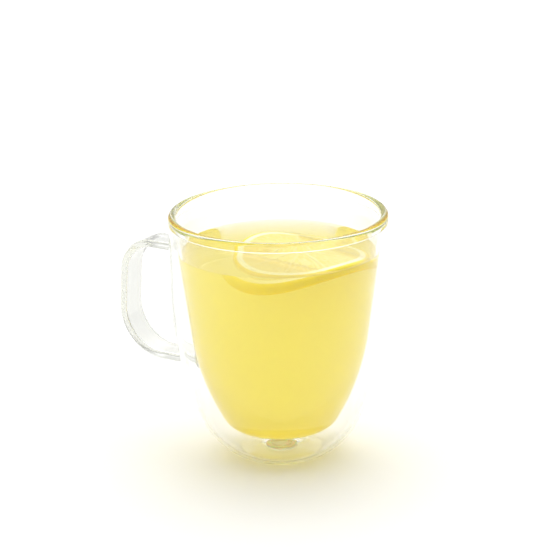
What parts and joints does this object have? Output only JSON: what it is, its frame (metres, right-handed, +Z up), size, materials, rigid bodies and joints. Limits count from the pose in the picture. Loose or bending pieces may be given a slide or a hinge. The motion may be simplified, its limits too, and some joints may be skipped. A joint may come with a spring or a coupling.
{
  "type": "glass cup of tea",
  "caption": "Double-walled clear glass mug with a flat strap handle, filled with pale yellow lemon tea and a slice of lemon that lies almost sunk in it.",
  "frame": {"origin": "centre of the flat foot, on the table", "axes": "+Z up along the mug's axis, -X towards the handle"},
  "size_m": [0.121, 0.09, 0.104],
  "materials": {
    "glass": "clear, polished",
    "silicone": "translucent, satin",
    "tea": "cloudy liquid",
    "lemon": "wet"
  },
  "bodies": {
    "root": {"glass_mug": "glass", "vent_plug": "silicone", "tea": "tea", "lemon_slice": "lemon"}
  },
  "joints": []
}
